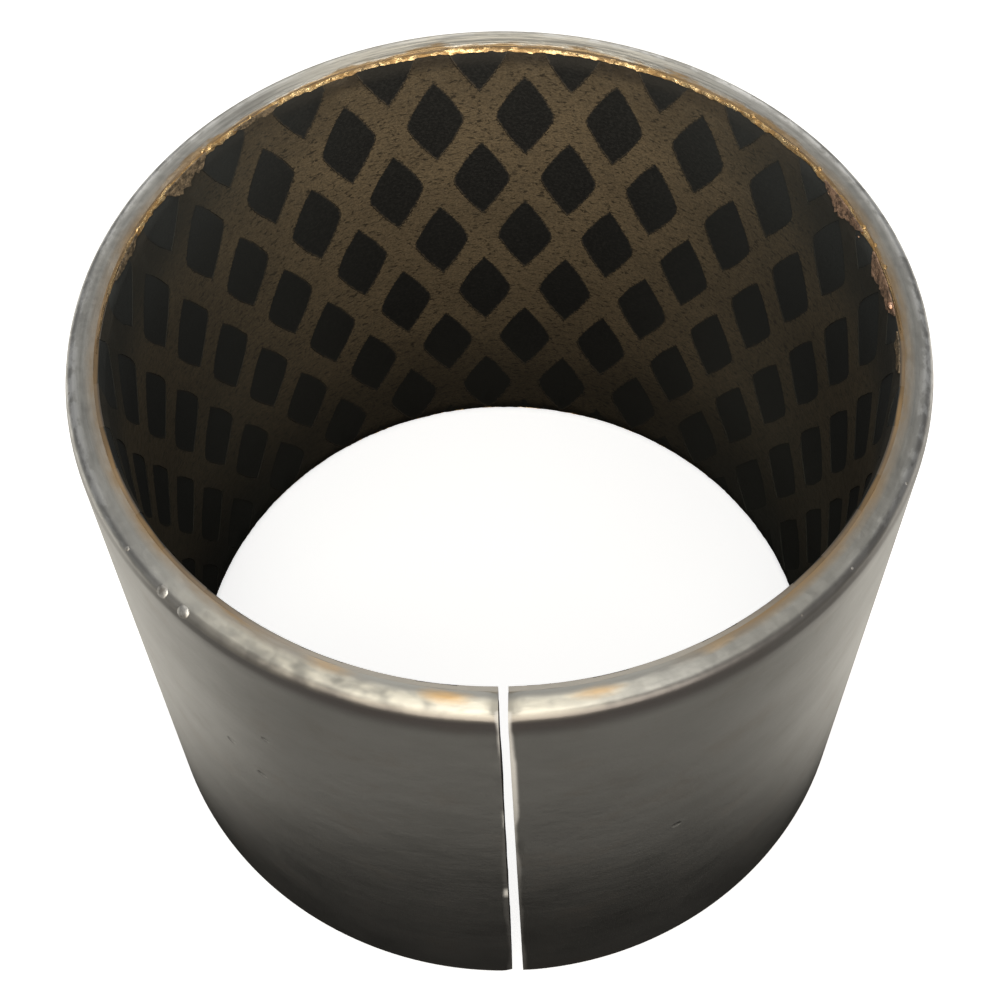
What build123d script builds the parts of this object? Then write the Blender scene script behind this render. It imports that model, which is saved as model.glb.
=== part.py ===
"""Wrapped plain bushing: a steel-backed bronze strip rolled round, with graphite in lozenge pockets.

Frame: the origin is the centre of the lower end face, +Z runs along the bushing's axis, and the open
butt seam of the rolled strip faces -Y. Lengths are in millimetres and angles in degrees.
"""

from build123d import *
import os
from math import ceil, cos, degrees, floor, radians, sin, tan

os.makedirs("parts", exist_ok=True)

# The rolled strip: steel outside, a thin bearing layer of bronze bonded inside
bore_diameter = 40.0
wall = 2.0
length = 35.0
lining_thickness = 0.45

# Both ends: a long shallow chamfer outside for pressing in, rounded off where it meets the end face,
# and a fine lead-in at the bore
outer_chamfer_length = 0.8
outer_chamfer_angle = 15.0
outer_edge_radius = 0.5
lead_in_length = 0.9
lead_in_depth = 0.2

# The butt seam stands slightly open, wider at the lower end, and leans off the axis
seam_gap_top = 0.45
seam_gap_bottom = 0.65
seam_lean = 0.9
seam_edge_break = 0.25

# Graphite pockets: upright lozenges, staggered in columns along the axis. Columns are spaced along
# the curve of the bore, and the lattice leans, because the strip was cut slightly askew.
pocket_width = 3.6
pocket_height = 6.4
pocket_depth = 0.25
graphite_recess = 0.04
pocket_pitch = 10.54
column_spacing = 2.68
first_column_from_seam = 1.85
first_pocket_below_top = 3.23
lattice_lean = 1.83

# Worked out from the sizes above
bore_radius = bore_diameter / 2
bond_radius = bore_radius + lining_thickness
outer_radius = bore_radius + wall
outer_chamfer_depth = outer_chamfer_length * tan(radians(outer_chamfer_angle))
column_step = degrees(column_spacing / bore_radius)
first_column_angle = degrees(first_column_from_seam / bore_radius)
column_count = ceil((360 - first_column_angle) / column_step)
seam_angle = -90.0
overrun = 1.0  # how far a cutting solid passes the face that it opens


def seam_centre(height):
    """X of the middle of the seam at a height, on its leaning line through the mid-length."""
    return (length / 2 - height) * tan(radians(seam_lean))


def seam_gap(height):
    """Width of the open seam at a height."""
    return seam_gap_bottom + (seam_gap_top - seam_gap_bottom) * height / length


def pocket_heights(column):
    """Heights of the pocket centres of a column, for the pockets that pass the lead-ins."""
    leaned = length - first_pocket_below_top - column * column_spacing * tan(radians(lattice_lean))
    start = leaned + (column % 2) * pocket_pitch / 2
    highest = length - lead_in_length + pocket_height / 2
    lowest = lead_in_length - pocket_height / 2
    rows = range(ceil((start - highest) / pocket_pitch), floor((start - lowest) / pocket_pitch) + 1)
    return [start - row * pocket_pitch for row in rows]


def pocket_location(column, height):
    """Where a pocket opens in the bore: X runs round it, Y along it and Z points at the axis."""
    angle = radians(seam_angle + first_column_angle + column * column_step)
    mouth = (bore_radius * cos(angle), bore_radius * sin(angle), height)
    return Plane(mouth, x_dir=(sin(angle), -cos(angle), 0), z_dir=(-cos(angle), -sin(angle), 0)).location


# Slot that parts the two ends of the strip and breaks their outer edges
with BuildPart() as seam_slot:
    for height in (-overrun, length + overrun):
        half_gap = seam_gap(height) / 2
        with BuildSketch(Plane((seam_centre(height), 0, height))):
            with BuildLine():
                Polyline(
                    (0, -bore_radius + overrun),
                    (half_gap, -bore_radius + overrun),
                    (half_gap, -outer_radius + seam_edge_break),
                    (half_gap + seam_edge_break + overrun, -outer_radius - overrun),
                    (0, -outer_radius - overrun),
                )
                mirror(about=Plane.YZ)
            make_face()
    loft(ruled=True)

# Steel backing: the rolled strip's outer layer, chamfered and rounded outside at both ends
with BuildPart() as steel_backing:
    with BuildSketch(Plane.XZ) as steel_section:
        with BuildLine():
            Polyline(
                (bond_radius, 0),
                (outer_radius - outer_chamfer_depth, 0),
                (outer_radius, outer_chamfer_length),
                (outer_radius, length - outer_chamfer_length),
                (outer_radius - outer_chamfer_depth, length),
                (bond_radius, length),
                close=True,
            )
        make_face()
        chamfer_tops = steel_section.vertices().group_by(Axis.X)[1]
        fillet(chamfer_tops, radius=outer_edge_radius)
    revolve(axis=Axis.Z)
    add(seam_slot.part, mode=Mode.SUBTRACT)

# Bronze layer before its pockets are pressed in, with a lead-in at both ends of the bore
with BuildPart() as plain_lining:
    with BuildSketch(Plane.XZ):
        with BuildLine():
            Polyline(
                (bond_radius, 0),
                (bond_radius, length),
                (bore_radius + lead_in_depth, length),
                (bore_radius, length - lead_in_length),
                (bore_radius, lead_in_length),
                (bore_radius + lead_in_depth, 0),
                close=True,
            )
        make_face()
    revolve(axis=Axis.Z)
    add(seam_slot.part, mode=Mode.SUBTRACT)


def lozenge(start, end):
    """Upright lozenge block between two levels, measured from the mouth of a pocket."""
    with BuildPart() as block:
        with BuildSketch(Plane.XY.offset(start)):
            Polygon(
                (0, pocket_height / 2),
                (-pocket_width / 2, 0),
                (0, -pocket_height / 2),
                (pocket_width / 2, 0),
            )
        extrude(amount=end - start)
    return block.part


def beyond_seam(side):
    """Block over the strip's far end, from the middle of the seam, on its +X or its -X side."""
    with BuildPart() as block:
        for height in (-overrun, length + overrun):
            with BuildSketch(Plane((seam_centre(height), -bore_radius, height))):
                Rectangle(bore_radius / 2, bore_radius, align=(side, Align.CENTER))
        loft(ruled=True)
    return block.part


def column_of(block, column):
    """Copies of a block in the pockets of one column, cut short where the strip ends at the seam."""
    with BuildPart() as copies:
        with Locations(*[pocket_location(column, height) for height in pocket_heights(column)]):
            add(block)
        if column * column_step < 90:
            add(beyond_seam(Align.MAX), mode=Mode.SUBTRACT)
        if column * column_step > 270:
            add(beyond_seam(Align.MIN), mode=Mode.SUBTRACT)
    return copies.part


# Bronze lining: the layer bonded to the steel, with the lattice of pockets pressed into its bore
pocket_space = lozenge(-pocket_depth, overrun)
with BuildPart() as bronze_lining:
    add(plain_lining.part)
    add([column_of(pocket_space, column) for column in range(column_count)], mode=Mode.SUBTRACT)

steel_backing.part.label = "steel_backing"
export_step(steel_backing.part, "parts/steel_backing.step")
bronze_lining.part.label = "bronze_lining"
export_step(bronze_lining.part, "parts/bronze_lining.step")

# Graphite: the fills of each column of pockets, a hair below the bore and cut back with its lead-ins
graphite_fill = lozenge(-pocket_depth, -graphite_recess)
for column in range(column_count):
    with BuildPart() as graphite_column:
        add(column_of(graphite_fill, column))
        add(plain_lining.part, mode=Mode.INTERSECT)
    name = f"graphite_column_{column + 1:02d}"
    graphite_column.part.label = name
    export_step(graphite_column.part, f"parts/{name}.step")
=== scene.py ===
"""Wrapped plain bushing: the dressed model of a steel-backed bronze bushing with graphite pockets.

The strip is modelled flat, as it leaves the press, and is then rolled. On the flat strip X runs along
the strip, Y up the bushing and Z from the bore (0) out to the wall, all in millimetres. Rolled, it stands
in the shared frame: the origin is the centre of the lower end, +Z is the axis and the seam faces -Y.
"""

from math import atan2, ceil, cos, floor, pi, radians, sin, tan
from types import SimpleNamespace

import bmesh
import bpy
from bpy.props import FloatProperty, FloatVectorProperty, IntProperty, PointerProperty
from mathutils import Matrix, Vector, noise


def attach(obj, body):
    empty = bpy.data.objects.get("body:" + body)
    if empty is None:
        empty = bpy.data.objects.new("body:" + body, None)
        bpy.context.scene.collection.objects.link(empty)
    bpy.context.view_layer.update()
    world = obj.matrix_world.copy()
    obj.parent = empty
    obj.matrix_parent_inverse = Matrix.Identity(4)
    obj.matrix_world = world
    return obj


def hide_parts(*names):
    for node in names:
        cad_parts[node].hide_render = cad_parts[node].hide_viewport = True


bl_info = {
    "name": "Graphite plugged bushing",
    "version": (1, 0, 0),
    "blender": (4, 5, 0),
    "location": "View3D > Sidebar > Bushing",
    "description": "Rolled bronze-lined bushing with graphite pockets, its finishes and its studio",
    "category": "Object",
}

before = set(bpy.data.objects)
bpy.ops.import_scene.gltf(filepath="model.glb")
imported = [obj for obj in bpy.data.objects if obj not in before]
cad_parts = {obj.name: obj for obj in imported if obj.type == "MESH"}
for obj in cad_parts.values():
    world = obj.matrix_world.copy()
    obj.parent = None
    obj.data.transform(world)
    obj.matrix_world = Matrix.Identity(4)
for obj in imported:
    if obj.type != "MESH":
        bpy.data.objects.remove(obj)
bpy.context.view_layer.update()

MM = 1000.0  # millimetres in a metre: pieces are modelled in millimetres and brought down at the end
CUT_SLACK = 1e-5  # vertices this near a cutting plane count as lying on it
TOUCH = 1e-4  # places closer than this count as the same
WELD = 1e-3  # vertices closer than this are merged

# Shape of the pockets
SIDE_CUTS = 3  # points along each long side of a pocket
BLUNT_SIDE = 0.07  # share of the half width that the blunt sides lose
FULL_SIDE = 0.13  # how far the long sides swell

# The steel's end face and edge
FACE_CREST = 0.86  # depth at which the end face is highest
EDGE_LEVEL = 0.016  # drop of the rounding's top below the end face
BACKING_SLICES = 216
OVERRUN = 1.0  # the strip is drawn this far past the seam before it is trimmed
BACKING_ROWS = 29
SEAM_LINES = (0.14, 0.26, 0.38, 0.6, 0.9, 1.3)  # extra lines beside the seam, for its worn edges
WORN_REACH = 0.38  # the rubbed corner of the seam ends this far from it

# The bronze's torn ends and its slight waviness
TORN_BEHIND, TORN_FADE = 24.0, 9.0  # torn over the first distance from the back, then fading out
TORN_LEVEL = 0.055  # the bronze stops this far below the end face
TORN_SLOPE, SLOPE_WIDTH = 0.095, 0.25  # and this much further where it is torn, sloping over this width
WAVER = 0.05  # largest sideways shift of a pocket's edge
RIB_SPACING = 1.34  # lines across the lining's back, for the roll

# The burr round the bore
BURR_SLICES = 900
BURR_OVERRUN = 0.7
BURR_END = 30.5  # the burr starts and stops this far from the seam

# Colours on the steel
BROWN_CAST = (0.30, 0.245, 0.20)
DARK_GRAIN = (0.12, 0.12, 0.115)
CLEAN_FACE = (0.565, 0.56, 0.525)
# painted highlight on the end face behind
PAINTED_HIGHLIGHT_BEHIND = (0.86, 0.81, 0.69)
STREAK = (0.27, 0.26, 0.235)
SPOT = (0.27, 0.265, 0.245)
# painted shade on the end face
PAINTED_SHADE_ON_FACE = (0.17, 0.165, 0.15)
RIM_LINE = (0.16, 0.155, 0.15)
# painted highlight beside the seam, in dark and light cream
DARK_CREAM = (0.385, 0.37, 0.325)
CREAM = (0.81, 0.77, 0.655)
# rubbed outer edge, partly wear and partly a painted highlight
RUBBED_EDGE_AND_HIGHLIGHT = (0.86, 0.86, 0.84)
# painted shade where the upper chamfer runs out into the wall
PAINTED_SHADE_LINE = (0.10, 0.08, 0.08)
SCRATCH = (0.16, 0.155, 0.145)
SMEARED_BRONZE = (0.40, 0.26, 0.12)
ORANGE = (0.84, 0.56, 0.27)
RUBBED_CORNER = (0.78, 0.76, 0.72)

# Colours on the bronze and the graphite
BRONZE_CLOUD = (0.305, 0.231, 0.138)
BRONZE_MOTTLE = (0.15, 0.12, 0.078)
GLINT = (0.45, 0.36, 0.23)
GRIT = (0.085, 0.068, 0.047)
# graphite smudge round the pockets, and painted shade on their sides
SMUDGE_AND_POCKET_SHADE = (0.024, 0.022, 0.018)
# painted shade towards the upper end, on the lead-ins and at the foot of the bore
BRONZE_TOP_SHADE = (0.050, 0.042, 0.032)
BRONZE_LEAD_IN_SHADE = (0.050, 0.040, 0.029)
BRONZE_FOOT_SHADE = (0.044, 0.043, 0.037)
CUT_END = (0.27, 0.185, 0.10)
DARK_CUT_END = (0.16, 0.115, 0.07)
INNER_EDGE = (0.075, 0.06, 0.045)
GREY_CUT_END = (0.40, 0.38, 0.345)
GRAPHITE_GRAIN = (0.026, 0.0255, 0.023)
GRAPHITE_RUB = (0.026, 0.024, 0.020)
# painted sheen on the lead-ins and painted light low in the bore
GRAPHITE_LEAD_IN_SHEEN = (0.042, 0.038, 0.031)
GRAPHITE_FOOT_LIGHT = (0.034, 0.034, 0.029)
BRONZE_DUST = (0.10, 0.08, 0.055)
BURR_TONE = (0.30, 0.22, 0.14)
BURR_BROWN = (0.30, 0.21, 0.12)
# rubbed graphite, which is also painted shade on the bronze and a painted sheen on the graphite
VEIL_AND_SHADE_ON_BRONZE = (0.044, 0.049, 0.046), (0.125, 0.130, 0.113)  # high up, and low in the bore
VEIL_AND_SHEEN_ON_GRAPHITE = (0.043, 0.047, 0.046), (0.095, 0.099, 0.089)

# Colours of the small metal pieces, bright and dull
SPATTER_METAL = (0.66, 0.65, 0.62), (0.34, 0.32, 0.29)
BRONZE_FLAKE = (0.36, 0.27, 0.17), (0.10, 0.08, 0.055)
COPPER_FLAKE = (0.50, 0.32, 0.215), (0.13, 0.09, 0.065)
COPPER_BEAD = (0.95, 0.62, 0.45), (0.60, 0.34, 0.22)
DULL_BURR = (0.42, 0.26, 0.11)
DULL_GOLD = (0.50, 0.32, 0.14)

# The board that the bushing stands on, with a painted shadow: black close to it, grey in front and pale
# behind
BOARD_SHADOW, BOARD_FRONT_SHADOW, BOARD_PALE = (0.004, 0.004, 0.004), (0.28, 0.28, 0.275), (0.95, 0.95, 0.93)

# Bright orange spots of smeared bronze on the end face: place along the strip, depth, strength
ORANGE_SPOTS = ((123.1, 0.84, 1.0), (3.7, 0.98, 0.8), (117.7, 0.66, 0.8), (9.6, 0.66, 0.6))
# Chips that are rubbed bright on the seam's far corner: height, half length
CORNER_CHIPS = ((24.0, 1.5), (13.9, 1.0))
# Small pits in the outer wall: place along the strip, height, radius
WALL_PITS = ((111.6, 22.9, 0.30), (114.1, 26.3, 0.26), (113.2, 21.0, 0.34), (8.1, 18.5, 0.30))
# Smeared flakes: name, start and stop along the strip, how far they hang down, metal
FLAKES = (
    ("bronze_flake_1", 80.6, 84.2, 0.72, "bronze"),
    ("bronze_flake_2", 75.4, 78.5, 0.32, "bronze"),
    ("bronze_flake_3", 87.2, 90.4, 0.30, "bronze"),
    ("copper_flake_1", 37.3, 41.3, 0.62, "copper"),
    ("copper_flake_2", 31.6, 35.9, 0.70, "copper"),
    ("copper_flake_3", 28.0, 30.6, 0.34, "bronze"),
)
# Spatter beads on the rounded edge: place along the strip, angle round the edge in degrees, radius
SPATTER = (
    (109.24, 40, 0.31),
    (110.62, 48, 0.33),
    (106.5, 34, 0.13),
    (16.7, 34, 0.09),
    (21.9, 36, 0.10),
    (13.4, 30, 0.08),
    (97.3, 36, 0.10),
)
# Molten beads at the bore: place along the strip, depth, radius, how far below the rim, metal
BORE_BEADS = (
    (80.10, 0.36, 0.24, 0, "gold"),
    (80.60, 0.42, 0.15, 0, "gold"),
    (77.20, 0.33, 0.12, 0, "gold"),
    (86.90, 0.30, 0.13, 0, "gold"),
    (72.10, 0.28, 0.10, 0, "gold"),
    (47.15, 0.40, 0.16, 0, "gold"),
    (43.90, 0.38, 0.11, 0, "gold"),
    (42.10, 0.44, 0.15, 0, "gold"),
    (37.60, 0.40, 0.14, 0, "gold"),
    (36.30, 0.45, 0.12, 0, "gold"),
    (34.80, 0.43, 0.15, 0, "gold"),
    (35.30, 0.08, 0.08, 0.5, "copper"),
    (37.45, 0.08, 0.07, 0.5, "copper"),
    (32.35, 0.10, 0.20, 0, "copper"),
)
RIM_SLACK = 0.002  # the beads stay this far below the end face
BEAD_SINK = 0.03  # the spatter beads start this far inside the rounded edge

# The camera: its place and its three axes
CAMERA_PLACE = (-0.0005933, -0.0562054, 0.1062599)
CAMERA_RIGHT = (0.99964762, -0.02459714, -0.00998035)
CAMERA_UP = (0.02608494, 0.84057232, 0.54107093)
CAMERA_BACK = (-0.0049196, -0.54114061, 0.84091774)
LIGHTS_AIM = (0, 0, 0.02)  # the lights face the middle of the bushing

noise.seed_set(1)  # the same waviness every time


class BushingSizes(bpy.types.PropertyGroup):
    """Sizes of the rolled strip and of its pockets."""

    bore: FloatProperty(name="Bore", description="Bore diameter", default=0.040, unit="LENGTH")
    wall: FloatProperty(name="Wall", description="Whole thickness of the strip", default=0.002, unit="LENGTH")
    length: FloatProperty(name="Length", description="Length along the axis", default=0.035, unit="LENGTH")
    lining: FloatProperty(
        name="Lining", description="Thickness of the bronze", default=0.00045, unit="LENGTH"
    )
    chamfer_length: FloatProperty(
        name="Chamfer length", description="Length of the outer chamfer", default=0.0008, unit="LENGTH"
    )
    chamfer_angle: FloatProperty(
        name="Chamfer angle", description="Angle of the outer chamfer", default=radians(15), unit="ROTATION"
    )
    edge_radius: FloatProperty(
        name="Edge radius", description="Rounding of the outer edge", default=0.0005, unit="LENGTH"
    )
    lead_in_length: FloatProperty(
        name="Lead-in length", description="Length of the lead-in of the bore", default=0.0009, unit="LENGTH"
    )
    lead_in_depth: FloatProperty(
        name="Lead-in depth", description="Lead-in depth at the end face", default=0.0002, unit="LENGTH"
    )
    gap_top: FloatProperty(
        name="Seam top", description="Seam width, upper end", default=0.00045, unit="LENGTH"
    )
    gap_bottom: FloatProperty(
        name="Seam bottom", description="Seam width, lower end", default=0.00065, unit="LENGTH"
    )
    seam_lean: FloatProperty(
        name="Seam lean", description="Lean of the seam off the axis", default=radians(0.9), unit="ROTATION"
    )
    seam_break: FloatProperty(
        name="Seam break", description="Broken outer edge of the seam", default=0.00025, unit="LENGTH"
    )
    pocket_width: FloatProperty(
        name="Pocket width", description="Lozenge width round the bore", default=0.0036, unit="LENGTH"
    )
    pocket_height: FloatProperty(
        name="Pocket height", description="Lozenge height along the axis", default=0.0064, unit="LENGTH"
    )
    pocket_depth: FloatProperty(
        name="Pocket depth", description="Depth of the pockets", default=0.00025, unit="LENGTH"
    )
    recess: FloatProperty(
        name="Recess", description="Graphite below the bore", default=0.00004, unit="LENGTH"
    )
    pitch: FloatProperty(
        name="Pitch", description="Pocket pitch along the axis", default=0.01054, unit="LENGTH"
    )
    spacing: FloatProperty(
        name="Spacing", description="Distance between pocket columns", default=0.00268, unit="LENGTH"
    )
    first_column: FloatProperty(
        name="First column", description="First column from the seam", default=0.00185, unit="LENGTH"
    )
    first_pocket: FloatProperty(
        name="First pocket", description="First pocket below the rim", default=0.00323, unit="LENGTH"
    )
    lean: FloatProperty(
        name="Lattice lean", description="Lean of the pocket rows", default=radians(1.83), unit="ROTATION"
    )
    columns: IntProperty(name="Columns", description="Columns of pockets", default=47, min=1)


class BushingFinishes(bpy.types.PropertyGroup):
    """Colours of the metals and of the graphite."""

    steel: FloatVectorProperty(
        name="Steel", description="Rolled steel", default=(0.42, 0.415, 0.40), subtype="COLOR"
    )
    steel_dark: FloatVectorProperty(
        name="Dark steel", description="Clouds on the steel", default=(0.345, 0.34, 0.325), subtype="COLOR"
    )
    bronze: FloatVectorProperty(
        name="Bronze", description="Sintered bronze", default=(0.382, 0.289, 0.171), subtype="COLOR"
    )
    bronze_dark: FloatVectorProperty(
        name="Dark bronze", description="Dark flecks", default=(0.03, 0.025, 0.02), subtype="COLOR"
    )
    gold: FloatVectorProperty(
        name="Cut bronze", description="Freshly torn bronze", default=(0.95, 0.68, 0.34), subtype="COLOR"
    )
    graphite: FloatVectorProperty(
        name="Graphite", description="Pressed graphite", default=(0.0125, 0.0125, 0.0115), subtype="COLOR"
    )


class StudioSizes(bpy.types.PropertyGroup):
    """The camera, the lights and the floor."""

    lens: FloatProperty(name="Lens", description="Focal length in millimetres", default=64.136)
    overhead: FloatProperty(name="Overhead", description="Overhead soft light", default=0.39, unit="POWER")
    key: FloatProperty(name="Key", description="Warm front soft light", default=2.25, unit="POWER")
    back: FloatProperty(name="Back", description="Light behind", default=0.40, unit="POWER")
    ambient: FloatProperty(name="Ambient", description="Strength of the pale room", default=0.25)
    floor: FloatVectorProperty(
        name="Floor", description="Floor colour", default=(0.9, 0.9, 0.9), subtype="COLOR"
    )


def in_millimetres(sizes):
    """The bushing's sizes as plain numbers, lengths in millimetres and angles in radians."""
    size = SimpleNamespace(columns=sizes.columns)
    for name, about in sizes.bl_rna.properties.items():
        if about.type == "FLOAT":
            value = getattr(sizes, name)
            setattr(size, name, value if about.unit == "ROTATION" else round(value * MM, 6))
    size.radius = size.bore / 2
    size.girth = 2 * pi * size.radius
    return size


# ---------------------------------------------------------------- bench work


def clear_bench():
    """Leaves edit mode and deselects everything."""
    active = bpy.context.view_layer.objects.active
    if active is not None and active.mode != "OBJECT":
        bpy.ops.object.mode_set(mode="OBJECT")
    bpy.ops.object.select_all(action="DESELECT")


def take(*pieces):
    """Makes pieces the only selected ones, the first of them active."""
    clear_bench()
    for piece in pieces:
        piece.select_set(True)
    bpy.context.view_layer.objects.active = pieces[0]


def edit(piece):
    """Opens a piece in edit mode."""
    take(piece)
    bpy.ops.object.mode_set(mode="EDIT")
    bpy.ops.mesh.select_all(action="SELECT")


def named(piece, name):
    """Names a piece and its mesh."""
    piece.name = piece.data.name = name
    return piece


def join(pieces, name):
    """Joins pieces into one."""
    take(*pieces)
    bpy.ops.object.join()
    return named(pieces[0], name)


def middle(item):
    """Middle of an edge or a face."""
    return sum((v.co for v in item.verts), Vector()) / len(item.verts)


def pick(piece, kind, test):
    """Selects the edges or the faces of the open piece that pass a test."""
    bpy.ops.mesh.select_mode(type=kind)
    bpy.ops.mesh.select_all(action="DESELECT")
    mesh = bmesh.from_edit_mesh(piece.data)
    for item in mesh.edges if kind == "EDGE" else mesh.faces:
        item.select = test(item)
    mesh.select_flush_mode()
    bmesh.update_edit_mesh(piece.data)


def extrude(*way):
    """Extrudes what is selected of the open piece."""
    bpy.ops.mesh.extrude_region_move(TRANSFORM_OT_translate={"value": way})


def trim(point, normal, fill=True):
    """Cuts off what the open piece has past a plane, on the side its normal points to."""
    bpy.ops.mesh.select_all(action="SELECT")
    bpy.ops.mesh.bisect(plane_co=point, plane_no=normal, use_fill=fill, clear_outer=True, threshold=CUT_SLACK)


def score(point, normal, everywhere=True):
    """Adds a line of edges where a plane meets the open piece, or only its selected faces."""
    if everywhere:
        bpy.ops.mesh.select_all(action="SELECT")
    bpy.ops.mesh.bisect(plane_co=point, plane_no=normal, threshold=CUT_SLACK)


def reshape(piece, move):
    """Gives each vertex of a closed piece the place that a rule works out from its old one."""
    for vertex in piece.data.vertices:
        vertex.co = move(vertex.co.copy())
    piece.data.update()


def mark(piece, name, rule):
    """Keeps a value at each vertex of a closed piece, for its finish to read."""
    kept = piece.data.attributes.new(name, "FLOAT", "POINT")
    for index, vertex in enumerate(piece.data.vertices):
        kept.data[index].value = rule(vertex.co)


def finish_modifier(piece, kind, **settings):
    """Adds a modifier and applies it at once."""
    take(piece)
    modifier = piece.modifiers.new(kind.title(), kind)
    for name, value in settings.items():
        setattr(modifier, name, value)
    bpy.ops.object.modifier_apply(modifier=modifier.name)


def repeat(piece, count, step, merge):
    """Repeats a piece in a row, and merges each copy with the next if asked."""
    finish_modifier(
        piece,
        "ARRAY",
        count=count,
        use_relative_offset=False,
        use_constant_offset=True,
        constant_offset_displace=step,
        use_merge_vertices=merge,
        merge_threshold=TOUCH,
    )


def outline_face(name, outline, centre=Vector()):
    """A flat face with the given outline, started from a circle that is then drawn out to it."""
    clear_bench()
    bpy.ops.mesh.primitive_circle_add(vertices=len(outline), radius=1, fill_type="NGON")
    piece = named(bpy.context.object, name)
    for vertex, point in zip(piece.data.vertices, outline):
        vertex.co = point + centre
    return piece


def draw_out(size, name, section, past_seam, slices):
    """Draws a section out along the strip as a tube of many slices, running past the seam at both ends."""
    step = (size.girth + 2 * past_seam) / slices
    piece = outline_face(name, section, Vector((-past_seam, 0, 0)))
    edit(piece)
    extrude(step, 0, 0)
    ends = (-past_seam, step - past_seam)
    pick(piece, "FACE", lambda face: any(abs(middle(face).x - end) < TOUCH for end in ends))
    bpy.ops.mesh.delete(type="ONLY_FACE")
    repeat(piece, slices, (step, 0, 0), merge=True)
    return piece


def roll(piece, size, sharp):
    """Rolls a flat piece round the bore, stands it in the shared frame and smooths all but its sharp edges.

    Each vertex keeps its place on the flat strip, so that a finish can follow the metal's grain.
    """
    flat = piece.data.attributes.new("strip", "FLOAT_VECTOR", "POINT")
    for index, vertex in enumerate(piece.data.vertices):
        flat.data[index].vector = vertex.co
    reshape(piece, lambda p: Vector((p.x, -p.z, p.y)))
    along = [v.co.x for v in piece.data.vertices]
    turn = (max(along) - min(along)) / size.radius
    finish_modifier(piece, "SIMPLE_DEFORM", deform_method="BEND", deform_axis="Z", angle=turn)
    reshape(piece, lambda p: Vector((p.x, p.y - size.radius, p.z)) / MM)
    edit(piece)
    bpy.ops.mesh.normals_make_consistent(inside=False)
    take(piece)
    bpy.ops.object.shade_smooth_by_angle(angle=radians(sharp))
    clear_bench()


def seat(piece, slot, material, *nodes):
    """Gives a finished piece its finish and its body, and hides the CAD nodes it stands for. Its slot is not
    used.
    """
    piece.data.materials.clear()
    piece.data.materials.append(material)
    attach(piece, "root")
    if nodes:
        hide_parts(*nodes)


# ---------------------------------------------------------------- the strip and its lattice


def seam_planes(size):
    """The two leaning planes that end the strip, each as (point, outward normal)."""
    planes = []
    for side in (1, -1):
        corners = []
        for height, deep in ((0, 0), (size.length, 0), (0, size.wall)):
            centre = (size.length / 2 - height) * tan(size.seam_lean)
            gap = size.gap_bottom + (size.gap_top - size.gap_bottom) * height / size.length
            across = (centre + side * gap / 2) * size.radius / (size.radius + deep)
            corners.append(Vector((across + (0 if side > 0 else size.girth), height, deep)))
        normal = (corners[1] - corners[0]).cross(corners[2] - corners[0]).normalized()
        planes.append((corners[0], -normal if normal.x * side > 0 else normal))
    return planes


def fit_to_strip(size, fill=True, at_seam=True):
    """Trims the open piece to the strip's ends and seam, and scores it where the lead-ins start."""
    for height, way in ((size.length, 1), (0, -1)):
        trim((0, height, 0), (0, way, 0), fill)
    if at_seam:
        for point, normal in seam_planes(size):
            trim(point, normal, fill)
    for height in (size.lead_in_length, size.length - size.lead_in_length):
        score((0, height, 0), (0, 1, 0))


def column_start(size, column):
    """Place along the strip of a column of pockets, and the height that its pockets are spaced from."""
    along = column * size.spacing
    leaned = size.length - size.first_pocket - along * tan(size.lean)
    return size.first_column + along, leaned + (column % 2) * size.pitch / 2


def pocket_centres(size, column):
    """Centres of the pockets of one column on the flat strip."""
    across, start = column_start(size, column)
    highest = size.length - size.lead_in_length + size.pocket_height / 2
    lowest = size.lead_in_length - size.pocket_height / 2
    rows = range(ceil((start - highest) / size.pitch), floor((start - lowest) / size.pitch) + 1)
    return [Vector((across, start - row * size.pitch, 0)) for row in rows]


def tile_of(size, point):
    """Column and centre height of the lattice tile that holds a point of the leaning lattice."""
    tiles = []
    guess = round((point.x - size.first_column) / size.spacing)
    for column in (guess - 1, guess, guess + 1):
        across, start = column_start(size, column)
        height = start - round((start - point.y) / size.pitch) * size.pitch
        away = abs(point.x - across) / size.spacing + abs(point.y - height) / (size.pitch / 2)
        tiles.append((away, column, height))
    return min(tiles)[1:]


def has_pocket(size, column, height):
    """Whether the strip has a pocket in this tile."""
    inside = 0 <= column < size.columns
    return inside and any(abs(centre.y - height) < 0.01 for centre in pocket_centres(size, column))


def all_round(quarter):
    """The whole outline that a quarter of it gives, from its top to its right side."""
    right = quarter + [(x, -y) for x, y in reversed(quarter[:-1])]
    left = [(-x, y) for x, y in reversed(right[1:-1])]
    return [Vector((x, y, 0)) for x, y in right + left]


def pocket_outline(size):
    """Outline of a pocket round its centre: sharp upper and lower tips, blunt sides, sides a little full."""
    half_width, half_height = size.pocket_width / 2, size.pocket_height / 2
    side = half_width * (1 - BLUNT_SIDE)
    quarter = [(0.0, half_height)]
    for cut in range(1, SIDE_CUTS + 1):
        share = cut / (SIDE_CUTS + 1) * (1 - BLUNT_SIDE)
        bulge = FULL_SIDE * 4 * share * (1 - share)
        quarter.append((half_width * share + bulge * 0.85, half_height * (1 - share) + bulge * 0.5))
    quarter += [(side + 0.01, half_height * BLUNT_SIDE * 1.3), (side + 0.035, 0.0)]
    return all_round(quarter)


def tile_outline(size):
    """Outline of a lattice tile round its centre, a point for each point of the pocket's outline."""
    steps = SIDE_CUTS + 2
    return all_round(
        [(size.spacing * i / steps, size.pitch / 2 * (1 - i / steps)) for i in range(steps + 1)]
    )


def turn_from_top(point):
    """How far round its outline a point lies, from the top, for putting points in order."""
    return -atan2(point.x, point.y) % (2 * pi)


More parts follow.
